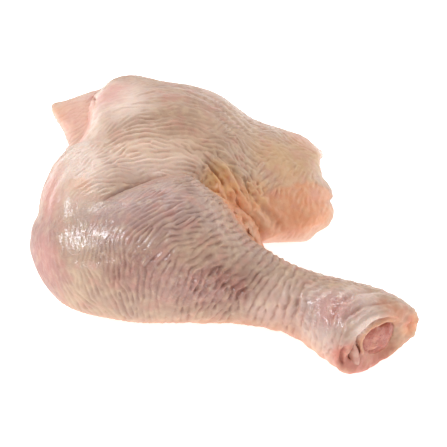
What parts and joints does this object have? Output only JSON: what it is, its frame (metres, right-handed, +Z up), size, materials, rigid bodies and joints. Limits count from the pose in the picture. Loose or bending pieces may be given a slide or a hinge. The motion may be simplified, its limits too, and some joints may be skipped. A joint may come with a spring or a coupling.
{
  "type": "raw chicken leg quarter",
  "caption": "Raw chicken leg quarter, thigh and drumstick folded at the knee, skin on, cut off at the hock, lying skin side up.",
  "frame": {"origin": "bottom middle of the box round the whole leg quarter, at the level of the surface it lies on", "axes": "+Z up, out of the skin side; +X from the bend of the knee towards the hip end and the hock; -Y towards the drumstick's side, +Y towards the thigh and the flank flap"},
  "size_m": [0.1408, 0.1396, 0.0511],
  "materials": {
    "skin": "moist raw chicken skin with the flesh under it, pale pink to mauve and cream, with a soft wet sheen",
    "bone": "moist reddish end of the shin bone",
    "tendon": "pale moist tendon"
  },
  "bodies": {
    "root": {"leg_quarter": "skin", "shin_bone": "bone", "hock_tendon": "tendon"}
  },
  "joints": []
}
